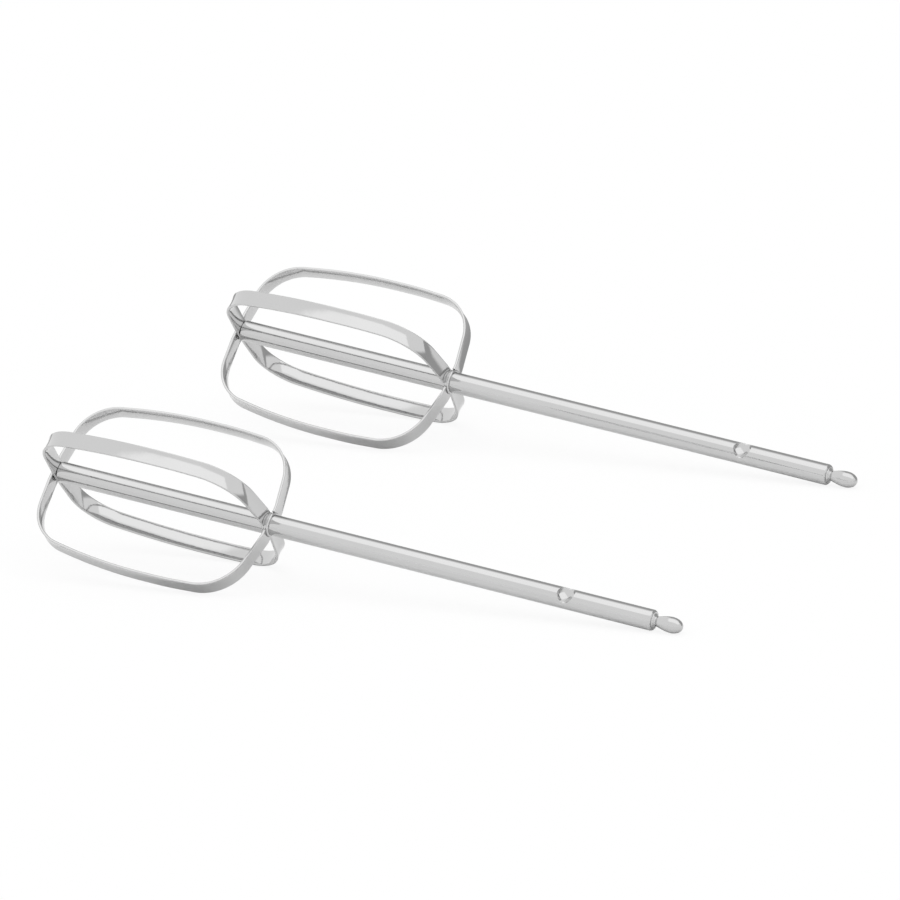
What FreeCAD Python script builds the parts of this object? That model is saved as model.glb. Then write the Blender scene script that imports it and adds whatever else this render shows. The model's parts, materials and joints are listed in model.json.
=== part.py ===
# A pair of hand mixer beaters lying side by side on a flat surface.
# Each beater is drawn along its own axis first (foot at 0, drive end at +X), then laid down on the
# two lower wings and the drive end. All sizes are in millimetres.
import FreeCAD
import Part
import math
import os

V = FreeCAD.Vector

# Sizes of the real thing
rodDia = 6.0            # round steel bar of the stem
overallLength = 203.1   # outside of the foot to the end of the drive tip, without the rivet head
loopLength = 69.55      # foot to hub, between the middles of the strip
loopHalfWidth = 24.75   # axis to the middle of the strip, at the widest place
stripWidth = 4.8
stripThickness = 0.75

# Shape of a loop, from the foot round to the hub
footFlat = 4.0
footCornerDrop = 4.15   # how far the corner lies inside the widest place
footCornerRise = 1.6
footCornerRadius = 12.2
widestFrom = 0.37       # the sides are widest from here to widestUntil, as shares of the length
widestUntil = 0.68
hubCornerDrop = 1.25
hubCornerSetback = 3.7
hubCornerRadius = 13.3
hubFlat = 4.6
bendRadius = 9.0
footArchRadius = 160.0
hubArchRadius = 115.0
innerCornerInset = 0.28  # the inner loop's corners lie this much inside the outer loop's
edgeRound = 0.16

# Joints inside a beater
eyeRim = 0.3            # how far the eye stands out past the bar
eyeClearance = 0.03
spigotDia = 2.8
spigotClearance = 0.05
rivetDia = 4.6
rivetHeight = 0.9
rivetFlat = 0.6
collarProud = 0.6       # how far the ring stands out past the bar
collarThickness = 0.7
collarRound = 0.28
grooveDepth = 0.2       # groove in the bar that the ring sits in
grooveLength = 0.8

# Drive end
shoulderRound = 0.9
tipLength = 9.8         # end of the full bar to the end of the tip
neckDia = 2.8
neckFromEnd = 8.2
bulbDia = 4.55
bulbFromEnd = 3.4
tipFlat = 0.5
pocketFromShoulder = 26.8
pocketDia = 5.2
pocketWall = 1.6        # from the bar's axis to the foot of the pocket's wall
pocketPoint = 0.65      # from the bar's axis to the point of the pocket
pocketTurn = 8.0        # pockets from the plane of the inner loop

# Where the two lie
frontShiftX = 32.0
frontShiftY = -154.6
wingRoll = 45.0

rodR = rodDia / 2
grooveR = rodR - grooveDepth
half = stripThickness / 2
shoulderAt = overallLength - half - tipLength
tipAt = overallLength - half


def roundedOutline(points, radii, grow):
    """Closed wire in XY: a convex polygon moved outwards by grow, its corners rounded."""
    count = len(points)
    moved = []
    for i in range(count):
        p = points[i - 1]
        q = points[i]
        s = points[(i + 1) % count]
        d1 = (q - p).normalize()
        d2 = (s - q).normalize()
        n1 = V(d1.y, -d1.x, 0)
        n2 = V(d2.y, -d2.x, 0)
        bisector = (n1 + n2).normalize()
        moved.append(q + bisector * (grow / bisector.dot(n1)))
    starts = []
    ends = []
    arcs = []
    for i in range(count):
        q = moved[i]
        d1 = (q - moved[i - 1]).normalize()
        d2 = (moved[(i + 1) % count] - q).normalize()
        turn = d1.getAngle(d2)
        radius = radii[i] + grow
        reach = radius * math.tan(turn / 2)
        inwards = (d2 - d1).normalize()
        middle = q + inwards * (radius / math.cos(turn / 2) - radius)
        starts.append(q - d1 * reach)
        ends.append(q + d2 * reach)
        arcs.append(Part.Arc(starts[i], middle, ends[i]).toShape())
    edges = []
    for i in range(count):
        edges.append(arcs[i])
        nextStart = starts[(i + 1) % count]
        edges.append(Part.makeLine(ends[i], nextStart))
    return Part.Wire(edges)


def loopCorners(endInset, cornerInset):
    """Middle line of the strip, X along the stem and Y across, anticlockwise."""
    footCornerAt = footCornerRise + cornerInset
    hubCornerAt = loopLength - hubCornerSetback - cornerInset
    halfSide = [
        (endInset, footFlat, bendRadius),
        (footCornerAt, loopHalfWidth - footCornerDrop, footCornerRadius),
        (loopLength * widestFrom, loopHalfWidth, footArchRadius),
        (loopLength * widestUntil, loopHalfWidth, hubArchRadius),
        (hubCornerAt, loopHalfWidth - hubCornerDrop, hubCornerRadius),
        (loopLength - endInset, hubFlat, bendRadius),
    ]
    corners = [(x, -y, r) for x, y, r in halfSide]
    corners += [(x, y, r) for x, y, r in reversed(halfSide)]
    points = [V(x, y, 0) for x, y, r in corners]
    radii = [r for x, y, r in corners]
    return points, radii


def makeLoop(endInset, cornerInset):
    """One strip bent to a closed loop, with an eye at the hub and a rivet hole at the foot."""
    points, radii = loopCorners(endInset, cornerInset)
    outer = Part.Face(roundedOutline(points, radii, half))
    inner = Part.Face(roundedOutline(points, radii, -half))
    ring = outer.cut(inner)
    ring.translate(V(0, 0, -stripWidth / 2))
    strip = ring.extrude(V(0, 0, stripWidth))
    longEdges = []
    for edge in strip.Edges:
        ends = [v.Point.z for v in edge.Vertexes]
        if abs(ends[0] - ends[-1]) < 1e-6:
            longEdges.append(edge)
    strip = strip.makeFillet(edgeRound, longEdges)
    hub = loopLength - endInset
    eye = Part.makeCylinder(rodR + eyeRim, stripThickness, V(hub - half, 0, 0), V(1, 0, 0))
    eyeHole = Part.makeCylinder(rodR + eyeClearance, 4, V(hub - 2, 0, 0), V(1, 0, 0))
    footHole = Part.makeCylinder(spigotDia / 2 + spigotClearance, 4, V(endInset - 2, 0, 0), V(1, 0, 0))
    return strip.fuse(eye).cut(eyeHole).cut(footHole).removeSplitter()


def arc(a, b, c):
    return Part.Arc(V(a[0], a[1], 0), V(b[0], b[1], 0), V(c[0], c[1], 0)).toShape()


def line(a, b):
    return Part.makeLine(V(a[0], a[1], 0), V(b[0], b[1], 0))


def makeStem():
    """Bar with a riveted spigot, a ring groove, two round drive pockets and a necked tip."""
    seat = 3 * half
    under = -half
    rivetR = rivetDia / 2
    spigotR = spigotDia / 2
    roundOff = 0.3
    grooveStart = loopLength + half
    grooveEnd = grooveStart + grooveLength
    shoulderIn = rodR - shoulderRound
    neckAt = tipAt - neckFromEnd
    bulbAt = tipAt - bulbFromEnd
    bulbR = bulbDia / 2
    diagonal = math.sqrt(0.5)
    neckMid = ((neckAt + bulbAt) / 2, (neckDia / 2 + bulbR) / 2 + 0.16)
    rivetMid = (under - rivetHeight * 0.68, rivetR * 0.72)
    noseMid = (bulbAt + bulbFromEnd * diagonal, bulbR * diagonal)
    shoulderMid = (shoulderAt + shoulderRound * diagonal, shoulderIn + shoulderRound * diagonal)
    edges = [
        line((under - rivetHeight, 0), (tipAt, 0)),
        line((tipAt, 0), (tipAt, tipFlat)),
        arc((tipAt, tipFlat), noseMid, (bulbAt, bulbR)),
        arc((bulbAt, bulbR), neckMid, (neckAt, neckDia / 2)),
        line((neckAt, neckDia / 2), (shoulderAt + shoulderRound, shoulderIn)),
        arc((shoulderAt + shoulderRound, shoulderIn), shoulderMid, (shoulderAt, rodR)),
        line((shoulderAt, rodR), (grooveEnd, rodR)),
        line((grooveEnd, rodR), (grooveEnd, grooveR)),
        line((grooveEnd, grooveR), (grooveStart, grooveR)),
        line((grooveStart, grooveR), (grooveStart, rodR)),
        line((grooveStart, rodR), (seat + roundOff, rodR)),
        line((seat + roundOff, rodR), (seat, rodR - roundOff)),
        line((seat, rodR - roundOff), (seat, spigotR)),
        line((seat, spigotR), (under, spigotR)),
        line((under, spigotR), (under, rivetR)),
        arc((under, rivetR), rivetMid, (under - rivetHeight, rivetFlat)),
        line((under - rivetHeight, rivetFlat), (under - rivetHeight, 0)),
    ]
    face = Part.Face(Part.Wire(edges))
    stem = face.revolve(V(0, 0, 0), V(1, 0, 0), 360)
    pocketAt = shoulderAt - pocketFromShoulder
    pocketR = pocketDia / 2
    for side in (1, -1):
        out = V(0, side, 0)
        wallFoot = V(pocketAt, side * pocketWall, 0)
        bore = Part.makeCylinder(pocketR, 2 * rodR, wallFoot, out)
        point = Part.makeCone(pocketR, 0, pocketWall - pocketPoint, wallFoot, out * -1)
        stem = stem.cut(bore.fuse(point))
    return stem


def makeCollar():
    """Ring closed into the groove of the bar, against the outer eye."""
    start = loopLength + half
    ring = Part.makeCylinder(rodR + collarProud, collarThickness, V(start, 0, 0), V(1, 0, 0))
    ring = ring.makeFillet(collarRound, [e for e in ring.Edges if e.Length > 20])
    hole = Part.makeCylinder(grooveR, 2, V(start - 0.5, 0, 0), V(1, 0, 0))
    return ring.cut(hole)


def lowestBelow(points, tilt):
    """How far the lowest of some (along, below) points of a beater hangs under its foot point."""
    return max(along * math.sin(tilt) + below * math.cos(tilt) for along, below in points)


def restTilt():
    """Angle at which a beater lies on its two lower wings and its drive tip."""
    turn = math.radians(wingRoll)
    across = (stripWidth / 2 - edgeRound) * math.sin(turn) + edgeRound
    wings = []
    for insets in ((0.0, 0.0), (stripThickness, innerCornerInset)):
        points, radii = loopCorners(*insets)
        for spot in roundedOutline(points, radii, half).discretize(600):
            wings.append((spot.x, abs(spot.y) * math.cos(turn) + across))
    tip = [(shoulderAt, rodR)]
    for step in range(46):
        angle = math.radians(2 * step)
        tip.append((tipAt - bulbFromEnd + bulbFromEnd * math.sin(angle), bulbDia / 2 * math.cos(angle)))
    low = 0.0
    high = math.radians(20)
    for attempt in range(50):
        middle = (low + high) / 2
        if lowestBelow(wings, middle) > lowestBelow(tip, middle):
            low = middle
        else:
            high = middle
    return low, lowestBelow(tip, low)


loopA = makeLoop(0.0, 0.0)
loopB = makeLoop(stripThickness, innerCornerInset)
loopB.rotate(V(0, 0, 0), V(1, 0, 0), 90)
stem = makeStem()
stem.rotate(V(0, 0, 0), V(1, 0, 0), 90 - pocketTurn)
collar = makeCollar()
tilt, drop = restTilt()

beater = {"stem": stem, "inner_loop": loopB, "outer_loop": loopA, "hub_collar": collar}
shifts = {"rear": V(0, 0, drop), "front": V(frontShiftX, frontShiftY, drop)}
nodes = {}
for place, shift in shifts.items():
    for piece, shape in beater.items():
        laid = shape.copy()
        laid.rotate(V(0, 0, 0), V(1, 0, 0), wingRoll)
        laid.rotate(V(0, 0, 0), V(0, 1, 0), math.degrees(tilt))
        laid.translate(shift)
        nodes[place + "_" + piece] = laid

box = Part.makeCompound(list(nodes.values())).optimalBoundingBox(False)
centre = V((box.XMin + box.XMax) / 2, (box.YMin + box.YMax) / 2, box.ZMin)
os.makedirs("parts", exist_ok=True)
for name, shape in nodes.items():
    shape.translate(centre * -1)
    shape.exportStep("parts/" + name + ".step")
    print(name, "valid" if shape.isValid() else "NOT VALID", len(shape.Solids), round(shape.Volume, 1))
print("tilt", round(math.degrees(tilt), 3), "drop", round(drop, 3), "lowest", round(box.ZMin, 4))
print("box", [round(v, 2) for v in (box.XLength, box.YLength, box.ZLength)])
for place, shift in shifts.items():
    foot = shift - centre
    print(place, "foot at", [round(v, 4) for v in foot])
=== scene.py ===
import json
import math

import bmesh
import bpy
from mathutils import Matrix, Vector


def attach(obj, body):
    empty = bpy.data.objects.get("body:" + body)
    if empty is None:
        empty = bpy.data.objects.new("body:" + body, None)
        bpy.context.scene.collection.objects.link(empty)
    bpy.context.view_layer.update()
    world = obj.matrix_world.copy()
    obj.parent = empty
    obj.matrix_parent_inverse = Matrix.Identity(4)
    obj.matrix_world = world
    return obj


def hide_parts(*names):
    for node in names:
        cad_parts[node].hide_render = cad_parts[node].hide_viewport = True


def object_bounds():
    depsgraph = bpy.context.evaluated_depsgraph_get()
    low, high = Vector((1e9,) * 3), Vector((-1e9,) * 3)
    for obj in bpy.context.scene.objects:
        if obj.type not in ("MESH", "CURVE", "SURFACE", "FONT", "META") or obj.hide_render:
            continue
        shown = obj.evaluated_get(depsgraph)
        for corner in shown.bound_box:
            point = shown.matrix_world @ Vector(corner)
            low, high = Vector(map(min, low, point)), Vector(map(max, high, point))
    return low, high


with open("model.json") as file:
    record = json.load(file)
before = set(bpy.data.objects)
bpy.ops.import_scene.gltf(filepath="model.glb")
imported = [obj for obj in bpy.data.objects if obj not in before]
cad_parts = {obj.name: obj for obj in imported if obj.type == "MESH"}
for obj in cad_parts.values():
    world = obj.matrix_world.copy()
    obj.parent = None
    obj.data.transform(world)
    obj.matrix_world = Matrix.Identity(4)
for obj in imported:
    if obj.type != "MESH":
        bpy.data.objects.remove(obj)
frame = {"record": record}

cadLow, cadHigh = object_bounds()
mm = 0.001
print("frame loaded")


steelLook = {
    "colour": (0.62, 0.62, 0.62),
    "stainColour": (0.585, 0.585, 0.585),
    "stainSize": 55.0,          # patches per metre
    "roughLow": 0.05,
    "roughHigh": 0.12,
    "drawnLines": 2600.0,       # polishing lines per metre across the piece
    "lineStretch": 0.02,        # how much slower they change along it
    "lineBump": 0.012,
    "lineDepth": 0.1 * mm,
    "waviness": 0.05,           # slow unevenness left by rolling and bending
    "wavinessSize": 160.0,
    "waveDepth": 1.0 * mm,
    "peel": 0.35,               # fine unevenness left by tumbling
    "peelSize": 1700.0,
    "peelDepth": 0.02 * mm,
}


def linkNodes(tree, fromSocket, toSocket):
    tree.links.new(fromSocket, toSocket)


def nodeMath(tree, operation, first, second):
    node = tree.nodes.new("ShaderNodeMath")
    node.operation = operation
    for index, value in enumerate((first, second)):
        if isinstance(value, (int, float)):
            node.inputs[index].default_value = value
        else:
            linkNodes(tree, value, node.inputs[index])
    return node.outputs[0]


def noise(tree, vector, scale, detail):
    node = tree.nodes.new("ShaderNodeTexNoise")
    node.inputs["Scale"].default_value = scale
    node.inputs["Detail"].default_value = detail
    linkNodes(tree, vector, node.inputs["Vector"])
    return node.outputs["Fac"]


def bump(tree, height, strength, depth, under=None):
    node = tree.nodes.new("ShaderNodeBump")
    node.inputs["Strength"].default_value = strength
    node.inputs["Distance"].default_value = depth
    linkNodes(tree, height, node.inputs["Height"])
    if under is not None:
        linkNodes(tree, under, node.inputs["Normal"])
    return node.outputs["Normal"]


def polishedSteel(name, look, shade=1.0):
    # Polished steel: soft patches, fine polishing lines along the piece, a slight waviness.
    material = bpy.data.materials.new(name)
    material.use_nodes = True
    tree = material.node_tree
    nodes = tree.nodes
    shader = nodes["Principled BSDF"]
    shader.inputs["Metallic"].default_value = 1.0
    shader.inputs["Specular IOR Level"].default_value = 0.5

    place = nodes.new("ShaderNodeAttribute")
    place.attribute_name = "workPlace"
    spot = place.outputs["Vector"]

    tint = nodes.new("ShaderNodeMix")
    tint.data_type = "RGBA"
    # shade scales the colour; above 1 it paints a lighter copy of the same steel, which is painted
    # light
    tint.inputs["A"].default_value = [v * shade for v in look["colour"]] + [1.0]
    tint.inputs["B"].default_value = [v * shade for v in look["stainColour"]] + [1.0]
    linkNodes(tree, noise(tree, spot, look["stainSize"], 3.0), tint.inputs["Factor"])
    linkNodes(tree, tint.outputs["Result"], shader.inputs["Base Color"])

    stretch = nodes.new("ShaderNodeMapping")
    stretch.inputs["Scale"].default_value = (look["lineStretch"], 1.0, 1.0)
    linkNodes(tree, spot, stretch.inputs["Vector"])
    lines = noise(tree, stretch.outputs["Vector"], look["drawnLines"], 2.0)

    rough = nodes.new("ShaderNodeMapRange")
    rough.inputs["To Min"].default_value = look["roughLow"]
    rough.inputs["To Max"].default_value = look["roughHigh"]
    linkNodes(tree, lines, rough.inputs["Value"])
    linkNodes(tree, rough.outputs["Result"], shader.inputs["Roughness"])

    waves = noise(tree, spot, look["wavinessSize"], 1.0)
    waved = bump(tree, waves, look["waviness"], look["waveDepth"])
    peel = noise(tree, spot, look["peelSize"], 2.0)
    peeled = bump(tree, peel, look["peel"], look["peelDepth"], waved)
    lined = bump(tree, lines, look["lineBump"], look["lineDepth"], peeled)
    linkNodes(tree, lined, shader.inputs["Normal"])
    return material


barLook = {**steelLook, "drawnLines": 3400.0, "wavinessSize": 90.0, "peel": 0.12}
ringLook = {**steelLook, "roughLow": 0.07, "roughHigh": 0.12}
stripSteel = polishedSteel("polished steel strip", steelLook)
barSteel = polishedSteel("polished steel bar", barLook)
# The ring's steel is the strip steel painted 5 % lighter: painted light standing in for the
# brighter light the ring shows
ringSteelPaintedLighter = polishedSteel("polished steel ring", ringLook, 1.05)
print("steel mixed")


stripInputs = [
    ("Width", 5.0 * mm, "NodeSocketFloat"),
    ("Thickness", 0.7 * mm, "NodeSocketFloat"),
    ("Edge Round", 0.2 * mm, "NodeSocketFloat"),
    ("Curl", 0.0, "NodeSocketFloat"),
    ("Step", 1.0 * mm, "NodeSocketFloat"),
    ("Bend Steps", 16, "NodeSocketInt"),
    ("Steel", None, "NodeSocketMaterial"),
]
edgeSteps = 5                   # faces round each edge of a strip
sectionStep = 0.12 * mm         # and their size across it


def addStep(tree, kind, mode=None, **sockets):
    # One node, with its sockets set to a value or linked to an output.
    node = tree.nodes.new(kind)
    if mode is not None:
        node.mode = mode
    for label, value in sockets.items():
        socket = node.inputs[label.replace("_", " ")]
        if isinstance(value, bpy.types.NodeSocket):
            linkNodes(tree, value, socket)
        else:
            socket.default_value = value
    return node


def buildStripTree():
    # The path's corners are rounded, the path is divided evenly, and a strip with rounded
    # edges is drawn along it. Curl lifts both edges of the strip off its middle.
    tree = bpy.data.node_groups.new("bentStrip", "GeometryNodeTree")
    tree.interface.new_socket("Geometry", in_out="INPUT", socket_type="NodeSocketGeometry")
    for label, value, kind in stripInputs:
        socket = tree.interface.new_socket(label, in_out="INPUT", socket_type=kind)
        if value is not None:
            socket.default_value = value
    tree.interface.new_socket("Geometry", in_out="OUTPUT", socket_type="NodeSocketGeometry")
    given = tree.nodes.new("NodeGroupInput").outputs

    bend = addStep(tree, "GeometryNodeInputRadius").outputs["Radius"]
    corners = addStep(tree, "GeometryNodeFilletCurve", "POLY", Curve=given["Geometry"],
                      Radius=bend, Count=given["Bend Steps"], Limit_Radius=True)
    even = addStep(tree, "GeometryNodeResampleCurve", "LENGTH",
                   Curve=corners.outputs["Curve"], Length=given["Step"])
    plain = addStep(tree, "GeometryNodeSetCurveRadius", Curve=even.outputs["Curve"], Radius=1.0)
    upright = addStep(tree, "GeometryNodeSetCurveNormal", "Z_UP", Curve=plain.outputs["Curve"])

    section = addStep(tree, "GeometryNodeCurvePrimitiveQuadrilateral",
                      Width=given["Thickness"], Height=given["Width"])
    softened = addStep(tree, "GeometryNodeFilletCurve", "POLY", Curve=section.outputs["Curve"],
                       Radius=given["Edge Round"], Count=edgeSteps, Limit_Radius=True)
    fine = addStep(tree, "GeometryNodeResampleCurve", "LENGTH",
                   Curve=softened.outputs["Curve"], Length=sectionStep)

    # The lift grows with the square of the way from the middle (0) to the edge (0.5).
    spot = addStep(tree, "GeometryNodeInputPosition").outputs["Position"]
    parts = addStep(tree, "ShaderNodeSeparateXYZ", Vector=spot)
    share = nodeMath(tree, "DIVIDE", parts.outputs["Y"], given["Width"])
    lift = nodeMath(tree, "MULTIPLY", nodeMath(tree, "MULTIPLY", share, share), given["Curl"])
    offset = addStep(tree, "ShaderNodeCombineXYZ", X=nodeMath(tree, "MULTIPLY", lift, 4.0))
    curled = addStep(tree, "GeometryNodeSetPosition", Geometry=fine.outputs["Curve"],
                     Offset=offset.outputs["Vector"])

    sweep = addStep(tree, "GeometryNodeCurveToMesh", Curve=upright.outputs["Curve"],
                    Profile_Curve=curled.outputs["Geometry"], Fill_Caps=True)
    single = addStep(tree, "GeometryNodeRealizeInstances", Geometry=sweep.outputs["Mesh"])
    coat = addStep(tree, "GeometryNodeSetMaterial", Geometry=single.outputs["Geometry"],
                   Material=given["Steel"])
    result = tree.nodes.new("NodeGroupOutput")
    linkNodes(tree, coat.outputs["Geometry"], result.inputs["Geometry"])
    return tree


stripTree = buildStripTree()
ringSides = 96


def bendStrip(path, bends, closed, settings):
    # Returns the mesh of a strip along a flat path, all in metres.
    curve = bpy.data.curves.new("path", "CURVE")
    curve.dimensions = "3D"
    spline = curve.splines.new("POLY")
    spline.points.add(len(path) - 1)
    for point, place, bend in zip(spline.points, path, bends):
        point.co = (place[0], place[1], 0.0, 1.0)
        point.radius = bend
    spline.use_cyclic_u = closed
    holder = bpy.data.objects.new("path", curve)
    bpy.context.scene.collection.objects.link(holder)
    modifier = holder.modifiers.new("bentStrip", "NODES")
    modifier.node_group = stripTree
    for item in stripTree.interface.items_tree:
        if item.in_out == "INPUT" and item.name in settings:
            modifier[item.identifier] = settings[item.name]
    holder.update_tag()
    bpy.context.view_layer.update()
    evaluated = holder.evaluated_get(bpy.context.evaluated_depsgraph_get())
    mesh = bpy.data.meshes.new_from_object(evaluated)
    holder.modifiers.remove(modifier)
    bpy.data.objects.remove(holder)
    bpy.data.curves.remove(curve)
    return mesh


def bendRing(inside, outside, settings):
    # A strip bent into a closed ring round the bar's axis.
    middle = (inside + outside) / 2
    circle = []
    for step in range(ringSides):
        angle = step * 2 * math.pi / ringSides
        circle.append((middle * math.cos(angle), middle * math.sin(angle)))
    ring = bendStrip(circle, [0.0] * ringSides, True, {
        **settings,
        "Thickness": outside - inside,
        "Curl": 0.0,
        "Step": 0.25 * mm,
        "Bend Steps": 1,
    })
    ring.transform(Matrix.Rotation(math.pi / 2, 4, "Y"))
    return ring


beaterPlace = {
    "shankMiddle": 131.825 * mm,     # foot to the middle of the drive shank
    "wingRoll": 45.0,
}


def beaterMatrix(side):
    # The drive shank's place and direction in the record give the whole beater's place.
    mount = next(m for m in frame["record"]["mounts"] if m["name"] == side + "_drive_shank")
    along = Vector(mount["axis"]).normalized()
    foot = Vector(mount["pos_m"]) - along * beaterPlace["shankMiddle"]
    across = Vector((0, 1, 0))
    above = along.cross(across).normalized()
    turn = math.radians(beaterPlace["wingRoll"])
    loopSide = across * math.cos(turn) + above * math.sin(turn)
    loopNormal = along.cross(loopSide)
    place = Matrix((along, loopSide, loopNormal)).transposed().to_4x4()
    place.translation = foot
    return place


def tidyMesh(mesh, smoothAngle):
    work = bmesh.new()
    work.from_mesh(mesh)
    bmesh.ops.remove_doubles(work, verts=work.verts, dist=1e-7)
    bmesh.ops.recalc_face_normals(work, faces=work.faces)
    for face in work.faces:
        face.smooth = True
    limit = math.radians(smoothAngle)
    for edge in work.edges:
        edge.smooth = len(edge.link_faces) == 2 and edge.calc_face_angle(0.0) < limit
    work.to_mesh(mesh)
    work.free()


def joinMeshes(meshes, name):
    work = bmesh.new()
    for mesh in meshes:
        work.from_mesh(mesh)
    joined = bpy.data.meshes.new(name)
    work.to_mesh(joined)
    work.free()
    return joined


def finishPiece(name, mesh, place, side, node, steel):
    # workPlace keeps each point's place along and across the piece for the polishing lines.
    marks = mesh.attributes.new("workPlace", "FLOAT_VECTOR", "POINT")
    flat = []
    for vertex in mesh.vertices:
        flat.extend(vertex.co)
    marks.data.foreach_set("vector", flat)
    mesh.transform(place)
    mesh.materials.clear()
    mesh.materials.append(steel)
    for polygon in mesh.polygons:
        polygon.material_index = 0
    piece = bpy.data.objects.new(name, mesh)
    bpy.context.scene.collection.objects.link(piece)
    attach(piece, side + "_beater")
    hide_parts(node)
    return piece


loopShape = {
    "length": 69.55 * mm,
    "halfWidth": 24.75 * mm,
    "widestFrom": 25.73 * mm,
    "widestUntil": 47.29 * mm,
    "width": 4.8 * mm,
    "thickness": 0.75 * mm,
    "edgeRound": 0.2 * mm,
    "curl": 0.27 * mm,              # bending lifts the strip's edges outwards
    "footFlat": 4.0 * mm,
    "footRise": 1.6 * mm,
    "footReach": 20.6 * mm,
    "footBend": 12.2 * mm,
    "hubSetback": 3.7 * mm,
    "hubReach": 23.5 * mm,
    "hubBend": 13.3 * mm,
    "hubFlat": 4.6 * mm,
    "smallBend": 9.0 * mm,
    "footArch": 160.0 * mm,
    "hubArch": 115.0 * mm,
    "eyeHole": 3.03 * mm,
    "eyeEdge": 3.3 * mm,
    "eyeOverlap": 0.1 * mm,
    "innerInset": 0.28 * mm,        # the inner loop's corners lie this much inside the outer's
}


def makeLoop(endInset, cornerInset):
    # One strip from the hub round the foot and back, and the eye that holds its two ends.
    s = loopShape
    stripEnd = (s["eyeHole"] + s["eyeEdge"]) / 2 - s["eyeOverlap"]
    hub = s["length"] - endInset
    half = [
        (hub, stripEnd, 0.0),
        (hub, s["hubFlat"], s["smallBend"]),
        (s["length"] - s["hubSetback"] - cornerInset, s["hubReach"], s["hubBend"]),
        (s["widestUntil"], s["halfWidth"], s["hubArch"]),
        (s["widestFrom"], s["halfWidth"], s["footArch"]),
        (s["footRise"] + cornerInset, s["footReach"], s["footBend"]),
        (endInset, s["footFlat"], s["smallBend"]),
    ]
    route = half + [(x, -y, r) for x, y, r in reversed(half)]
    strip = bendStrip([p[:2] for p in route], [p[2] for p in route], False, {
        "Width": s["width"],
        "Thickness": s["thickness"],
        "Edge Round": s["edgeRound"],
        "Curl": s["curl"],
        "Step": 0.5 * mm,
        "Bend Steps": 32,
        "Steel": stripSteel,
    })
    eye = bendRing(s["eyeHole"], s["eyeEdge"], {
        "Width": s["thickness"],
        "Edge Round": 0.1 * mm,
        "Steel": stripSteel,
    })
    eye.transform(Matrix.Translation((hub, 0, 0)))
    for mesh in (strip, eye):
        tidyMesh(mesh, 60)
    return joinMeshes([strip, eye], "loop")


stemShape = {
    "radius": 3.0 * mm,
    "seat": 1.125 * mm,
    "seatRound": 0.25 * mm,
    "spigot": 1.4 * mm,
    "rivetRadius": 2.3 * mm,
    "rivetHeight": 0.9 * mm,
    "stripUnder": 0.375 * mm,
    "grooveAt": 69.925 * mm,
    "grooveEnd": 70.65 * mm,
    "grooveRadius": 2.8 * mm,
    "shoulderAt": 192.925 * mm,
    "shoulderRound": 0.9 * mm,
    "tipAt": 202.725 * mm,
    "neckFromEnd": 8.2 * mm,
    "neckRadius": 1.4 * mm,
    "bulbFromEnd": 3.4 * mm,
    "bulbRadius": 2.275 * mm,
    "bulbSwell": 1.1,           # how slowly it widens from the neck
    "bulbBlunt": 0.9,           # and how blunt its end is
    "pocketFromShoulder": 26.8 * mm,
    "pocketRadius": 2.6 * mm,
    "pocketWall": 1.6 * mm,     # from the bar's axis to the foot of the pocket's wall
    "pocketPoint": 0.65 * mm,   # from the bar's axis to the point of the pocket
    "pocketTurn": 82.0,         # degrees round the bar from the outer loop's plane
    "lipRound": 0.12 * mm,
    "fineReach": 1.15,          # finer mesh round the pocket, in pocket radii
    "fineSteps": 90,
    "sides": 160,
}


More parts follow.
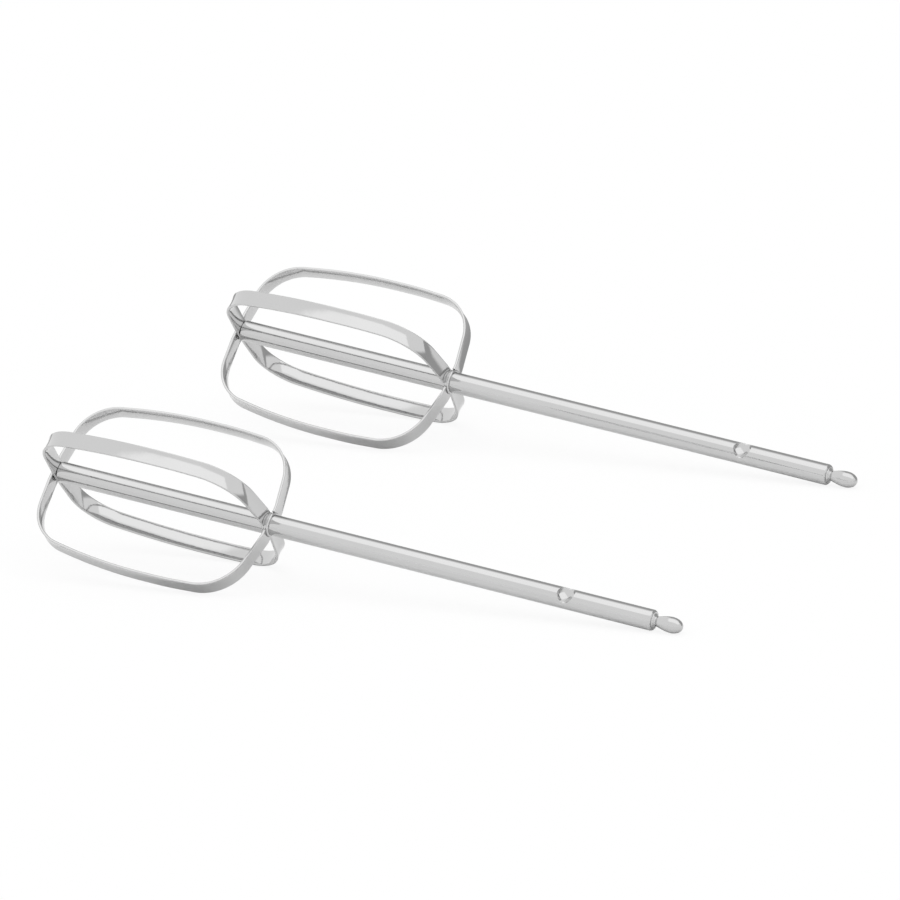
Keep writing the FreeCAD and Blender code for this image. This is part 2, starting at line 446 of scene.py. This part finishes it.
def stemProfile():
    # Distance along the bar and radius, from the rivet head to the tip.
    s = stemShape
    profile = []
    under = -s["stripUnder"]
    for step in range(1, 13):
        angle = step / 12 * math.pi / 2
        below = s["rivetHeight"] * math.cos(angle)
        profile.append((under - below, s["rivetRadius"] * math.sin(angle)))
    profile.append((under, s["spigot"]))
    profile.append((s["seat"], s["spigot"]))
    for step in range(7):
        angle = step / 6 * math.pi / 2
        edge = s["radius"] - s["seatRound"] * (1 - math.sin(angle))
        profile.append((s["seat"] + s["seatRound"] * (1 - math.cos(angle)), edge))
    pocketAt = s["shoulderAt"] - s["pocketFromShoulder"]
    fineStart = pocketAt - s["pocketRadius"] * s["fineReach"]
    fineEnd = pocketAt + s["pocketRadius"] * s["fineReach"]
    x = s["seat"] + s["seatRound"] + 1.0 * mm
    while x < s["grooveAt"] - 0.5 * mm:
        profile.append((x, s["radius"]))
        x += 2.0 * mm
    for x in (s["grooveAt"], s["grooveEnd"]):
        rim = [(x, s["radius"]), (x, s["grooveRadius"])]
        profile += rim if x == s["grooveAt"] else rim[::-1]
    x = s["grooveEnd"] + 1.0 * mm
    while x < fineStart:
        profile.append((x, s["radius"]))
        x += 2.0 * mm
    for step in range(s["fineSteps"] + 1):
        part = step / s["fineSteps"]
        profile.append((fineStart + (fineEnd - fineStart) * part, s["radius"]))
    x = fineEnd + 1.0 * mm
    while x < s["shoulderAt"] - 0.4 * mm:
        profile.append((x, s["radius"]))
        x += 1.5 * mm
    for step in range(11):
        angle = step / 10 * math.pi / 2
        drop = s["shoulderRound"] * (1 - math.cos(angle))
        profile.append((s["shoulderAt"] + s["shoulderRound"] * math.sin(angle), s["radius"] - drop))
    neckAt = s["tipAt"] - s["neckFromEnd"]
    bulbAt = s["tipAt"] - s["bulbFromEnd"]
    start = s["shoulderAt"] + s["shoulderRound"]
    startRadius = s["radius"] - s["shoulderRound"]
    for step in range(1, 9):
        part = step / 8
        ease = part * part * (3 - 2 * part)
        radius = startRadius + (s["neckRadius"] - startRadius) * ease
        profile.append((start + (neckAt - start) * part, radius))
    for step in range(1, 25):
        part = step / 24
        ease = math.sin(part * math.pi / 2) ** s["bulbSwell"]
        radius = s["neckRadius"] + (s["bulbRadius"] - s["neckRadius"]) * ease
        profile.append((neckAt + (bulbAt - neckAt) * part, radius))
    for step in range(1, 16):
        angle = step / 16 * math.pi / 2
        radius = s["bulbRadius"] * math.cos(angle) ** s["bulbBlunt"]
        profile.append((bulbAt + s["bulbFromEnd"] * math.sin(angle), radius))
    return profile, pocketAt


def pocketRadius(x, angle, radius, pocketAt):
    # How far the bar's surface stands from its axis once both drive pockets are drilled.
    s = stemShape
    slope = (s["pocketWall"] - s["pocketPoint"]) / s["pocketRadius"]
    for side in (0.0, math.pi):
        turn = angle - math.radians(s["pocketTurn"]) - side
        if math.cos(turn) < 0.2:
            continue
        rim = math.hypot(x - pocketAt, radius * math.sin(turn))
        floor = radius
        for attempt in range(12):
            off = math.hypot(x - pocketAt, floor * math.sin(turn))
            floor = (s["pocketPoint"] + slope * off) / math.cos(turn)
        step = max(0.0, min(1.0, (s["pocketRadius"] - rim) / s["lipRound"] + 0.5))
        ease = step * step * (3 - 2 * step)
        radius += (min(floor, radius) - radius) * ease
    return radius


def makeStem():
    s = stemShape
    profile, pocketAt = stemProfile()
    work = bmesh.new()
    rings = []
    for x, radius in profile:
        ring = []
        for step in range(s["sides"]):
            angle = step * 2 * math.pi / s["sides"]
            r = radius
            if abs(x - pocketAt) < s["pocketRadius"] * s["fineReach"]:
                r = pocketRadius(x, angle, radius, pocketAt)
            ring.append(work.verts.new((x, r * math.cos(angle), r * math.sin(angle))))
        rings.append(ring)
    for low, high in zip(rings, rings[1:]):
        for step in range(s["sides"]):
            after = (step + 1) % s["sides"]
            work.faces.new((low[step], high[step], high[after], low[after]))
    footPoint = work.verts.new((profile[0][0] - 0.01 * mm, 0, 0))
    tipPoint = work.verts.new((s["tipAt"], 0, 0))
    for step in range(s["sides"]):
        after = (step + 1) % s["sides"]
        work.faces.new((rings[0][after], footPoint, rings[0][step]))
        work.faces.new((rings[-1][step], tipPoint, rings[-1][after]))
    mesh = bpy.data.meshes.new("stem")
    work.to_mesh(mesh)
    work.free()
    tidyMesh(mesh, 35)
    return mesh


collarShape = {
    "start": 69.925 * mm,
    "thickness": 0.7 * mm,
    "inside": 2.8 * mm,
    "outside": 3.6 * mm,
    "edgeRound": 0.33 * mm,
}


def makeCollar():
    s = collarShape
    ring = bendRing(s["inside"], s["outside"], {
        "Width": s["thickness"],
        "Edge Round": s["edgeRound"],
        "Steel": ringSteelPaintedLighter,
    })
    ring.transform(Matrix.Translation((s["start"] + s["thickness"] / 2, 0, 0)))
    tidyMesh(ring, 40)
    return ring


quarterTurn = Matrix.Rotation(math.pi / 2, 4, "X")
for side in ("rear", "front"):
    place = beaterMatrix(side)
    crossed = place @ quarterTurn
    outer = makeLoop(0.0, 0.0)
    inner = makeLoop(loopShape["thickness"], loopShape["innerInset"])
    for part, mesh, where, node, steel, slot in (
        ("OuterLoop", outer, place, "_outer_loop", stripSteel, "strip_steel"),
        ("InnerLoop", inner, crossed, "_inner_loop", stripSteel, "strip_steel"),
        ("Stem", makeStem(), place, "_stem", barSteel, "stem_steel"),
        ("HubCollar", makeCollar(), place, "_hub_collar", ringSteelPaintedLighter, "collar_steel"),
    ):
        finishPiece(side + part, mesh, where, side, side + node, steel)
    print(side, "beater made")


studio = {
    "sheetColour": 0.95,
    "sheetEnd": 0.165,       # where the white sheet ends behind the pair
    "sheetCorner": 0.14,     # and where its far right corner is cut off, at a slant
    "sheetSlant": 0.5,
    "sheetSoft": 0.02,
    "pastSheet": 0.45,
    "whiteness": 0.86,      # how much of the floor's own white is seen from the camera
    "floorRadius": 6.0,
    "walls": 1.0,
    "box": 1.30,            # brightness of the square light overhead
    "boxX": (-0.49, 1.20),  # its edges, as slopes from straight up
    "boxY": (-0.60, 0.42),
    "boxSoft": 0.05,
    "boxLowest": 0.02,
    "backWall": 0.45,       # darker wall behind the pair
    "backTop": 52.0,        # how high it reaches, in degrees
    "backTurn": 13.0,       # its middle, turned from straight behind towards the drive ends
    "backSpread": 48.0,
    "backSoft": 6.0,         # how softly its sides and its top end
    "backTopSoft": 0.03,
}


def ramp(tree, value, low, high, start, end):
    node = tree.nodes.new("ShaderNodeMapRange")
    node.interpolation_type = "SMOOTHSTEP"
    node.inputs["From Min"].default_value = low
    node.inputs["From Max"].default_value = high
    node.inputs["To Min"].default_value = start
    node.inputs["To Max"].default_value = end
    linkNodes(tree, value, node.inputs["Value"])
    return node.outputs["Result"]


def makeFloor():
    mesh = bpy.data.meshes.new("floor")
    work = bmesh.new()
    bmesh.ops.create_circle(work, cap_ends=True, segments=96, radius=studio["floorRadius"])
    work.to_mesh(mesh)
    work.free()
    floor = bpy.data.objects.new("floor", mesh)
    bpy.context.scene.collection.objects.link(floor)
    floor.location = (0, 0, -0.1 * mm)
    paint = bpy.data.materials.new("pale floor")
    paint.use_nodes = True
    tree = paint.node_tree
    tree.nodes.clear()
    spot = tree.nodes.new("ShaderNodeNewGeometry")
    split = tree.nodes.new("ShaderNodeSeparateXYZ")
    linkNodes(tree, spot.outputs["Position"], split.inputs["Vector"])
    past = nodeMath(tree, "SUBTRACT", split.outputs["Y"], studio["sheetEnd"])
    slant = nodeMath(tree, "MULTIPLY", split.outputs["X"], studio["sheetSlant"])
    across = nodeMath(tree, "ADD", slant, split.outputs["Y"])
    cut = nodeMath(tree, "SUBTRACT", across, studio["sheetCorner"])
    past = nodeMath(tree, "MAXIMUM", past, cut)
    soft = studio["sheetSoft"]
    shade = ramp(tree, past, -soft, soft, studio["sheetColour"], studio["pastSheet"])
    sheet = tree.nodes.new("ShaderNodeBsdfDiffuse")
    linkNodes(tree, shade, sheet.inputs["Color"])
    seenSheet = tree.nodes.new("ShaderNodeBsdfDiffuse")
    seenSheet.inputs["Color"].default_value = (1, 1, 1, 1)
    glow = tree.nodes.new("ShaderNodeEmission")
    seen = tree.nodes.new("ShaderNodeMixShader")
    seen.inputs["Fac"].default_value = studio["whiteness"]
    linkNodes(tree, seenSheet.outputs["BSDF"], seen.inputs[1])
    linkNodes(tree, glow.outputs["Emission"], seen.inputs[2])
    path = tree.nodes.new("ShaderNodeLightPath")
    choice = tree.nodes.new("ShaderNodeMixShader")
    linkNodes(tree, path.outputs["Is Camera Ray"], choice.inputs["Fac"])
    linkNodes(tree, sheet.outputs["BSDF"], choice.inputs[1])
    linkNodes(tree, seen.outputs["Shader"], choice.inputs[2])
    output = tree.nodes.new("ShaderNodeOutputMaterial")
    linkNodes(tree, choice.outputs["Shader"], output.inputs["Surface"])
    mesh.materials.append(paint)


def makeStudioLight():
    # A white room with a square light overhead and one darker wall behind the pair.
    world = bpy.data.worlds.new("studio")
    bpy.context.scene.world = world
    world.use_nodes = True
    tree = world.node_tree
    tree.nodes.clear()
    direction = tree.nodes.new("ShaderNodeTexCoord")
    split = tree.nodes.new("ShaderNodeSeparateXYZ")
    linkNodes(tree, direction.outputs["Generated"], split.inputs["Vector"])
    height = split.outputs["Z"]
    lifted = nodeMath(tree, "MAXIMUM", height, studio["boxLowest"])
    soft = studio["boxSoft"]
    box = nodeMath(tree, "GREATER_THAN", height, studio["boxLowest"])
    for axis, edges in (("X", studio["boxX"]), ("Y", studio["boxY"])):
        slope = nodeMath(tree, "DIVIDE", split.outputs[axis], lifted)
        for edge, before, after in ((edges[0], 0.0, 1.0), (edges[1], 1.0, 0.0)):
            inside = ramp(tree, slope, edge - soft, edge + soft, before, after)
            box = nodeMath(tree, "MULTIPLY", box, inside)

    turn = math.radians(studio["backTurn"])
    behind = nodeMath(tree, "ADD", nodeMath(tree, "MULTIPLY", split.outputs["X"], math.sin(turn)),
                      nodeMath(tree, "MULTIPLY", split.outputs["Y"], math.cos(turn)))
    level = nodeMath(tree, "SUBTRACT", 1.0, nodeMath(tree, "MULTIPLY", height, height))
    level = nodeMath(tree, "POWER", nodeMath(tree, "MAXIMUM", level, 0.0001), 0.5)
    facing = nodeMath(tree, "DIVIDE", behind, level)
    spread = studio["backSpread"]
    outerEdge = math.cos(math.radians(spread + studio["backSoft"]))
    innerEdge = math.cos(math.radians(spread - studio["backSoft"]))
    sideways = ramp(tree, facing, outerEdge, innerEdge, 0.0, 1.0)
    top = math.sin(math.radians(studio["backTop"]))
    soft = studio["backTopSoft"]
    below = ramp(tree, height, top - soft, top + soft, 1.0, 0.0)
    dark = nodeMath(tree, "MULTIPLY", sideways, below)

    loss = nodeMath(tree, "MULTIPLY", dark, studio["walls"] - studio["backWall"])
    wall = nodeMath(tree, "SUBTRACT", studio["walls"], loss)
    extra = nodeMath(tree, "SUBTRACT", studio["box"], wall)
    strength = nodeMath(tree, "ADD", wall, nodeMath(tree, "MULTIPLY", box, extra))
    path = tree.nodes.new("ShaderNodeLightPath")
    seen = tree.nodes.new("ShaderNodeMix")
    linkNodes(tree, path.outputs["Is Camera Ray"], seen.inputs["Factor"])
    linkNodes(tree, strength, seen.inputs["A"])
    seen.inputs["B"].default_value = 1.0
    background = tree.nodes.new("ShaderNodeBackground")
    background.inputs["Color"].default_value = (1, 1, 1, 1)
    linkNodes(tree, seen.outputs["Result"], background.inputs["Strength"])
    output = tree.nodes.new("ShaderNodeOutputWorld")
    linkNodes(tree, background.outputs["Background"], output.inputs["Surface"])


view = {
    "azimuth": 30.857,      # degrees round from the front, towards the drive ends
    "elevation": 14.955,
    "roll": -2.013,
    "distance": 7.923,
    "lens": 1125.3,
    "aside": -1.68 * mm,     # how far the camera stands right of the pair's middle
    "above": 0.52 * mm,
}


def makeCamera():
    lens = bpy.data.cameras.new("camera")
    lens.lens = view["lens"]
    lens.sensor_width = 36.0
    lens.clip_end = 30.0
    camera = bpy.data.objects.new("camera", lens)
    bpy.context.scene.collection.objects.link(camera)
    turn = math.radians(view["azimuth"])
    rise = math.radians(view["elevation"])
    level = math.cos(rise)
    back = Vector((math.sin(turn) * level, -math.cos(turn) * level, math.sin(rise)))
    facing = (-back).to_track_quat("-Z", "Y")
    facing = facing @ Matrix.Rotation(math.radians(view["roll"]), 3, "Z").to_quaternion()
    aside = facing @ Vector((view["aside"], view["above"], 0))
    camera.location = (cadLow + cadHigh) / 2 + aside + back * view["distance"]
    camera.rotation_mode = "QUATERNION"
    camera.rotation_quaternion = facing
    bpy.context.scene.camera = camera


makeFloor()
makeStudioLight()
makeCamera()
bpy.context.scene.view_settings.view_transform = "Standard"
print("floor, light and camera set")
